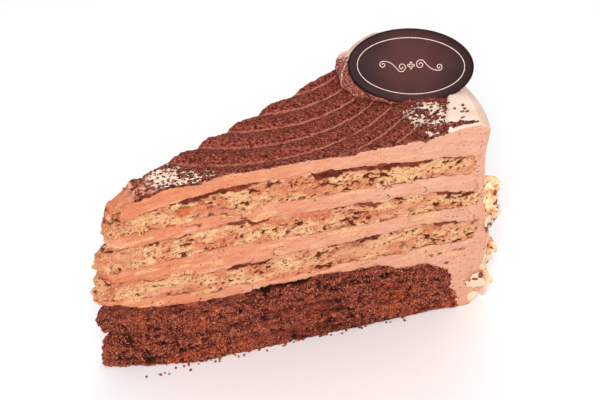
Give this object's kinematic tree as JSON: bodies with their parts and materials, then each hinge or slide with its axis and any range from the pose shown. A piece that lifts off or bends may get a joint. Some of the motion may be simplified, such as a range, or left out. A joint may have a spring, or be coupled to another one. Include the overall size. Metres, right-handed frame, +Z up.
{
  "type": "chocolate cream layer cake slice",
  "caption": "Wedge of chocolate cream layer cake: dark base, light sponges with cream between, cocoa-dusted combed top, piped rosette with an oval chocolate plaque, nut-flaked rim.",
  "frame": {"origin": "centre of the bounding box at floor level, under the slice", "axes": "+X from the slice's tip to its rim, +Z up, -Y side is the cut that the picture shows"},
  "size_m": [0.1348, 0.0626, 0.0895],
  "materials": {
    "dark_sponge": "open dark crumb",
    "light_sponge": "open light crumb with dark pores",
    "cream_filling": "smooth, soft sheen",
    "cream": "smooth cream, its top dusted with cocoa, nut flakes on its rim",
    "rosette_cream": "piped cream dusted with cocoa",
    "plaque_chocolate": "moulded dark chocolate, satin"
  },
  "bodies": {
    "root": {"sponge_base": "dark_sponge", "filling_1": "cream_filling", "sponge_1": "light_sponge", "filling_2": "cream_filling", "sponge_2": "light_sponge", "filling_3": "cream_filling", "sponge_3": "light_sponge", "cream_coat": "cream", "rosette": "rosette_cream", "plaque": "plaque_chocolate"}
  },
  "joints": []
}
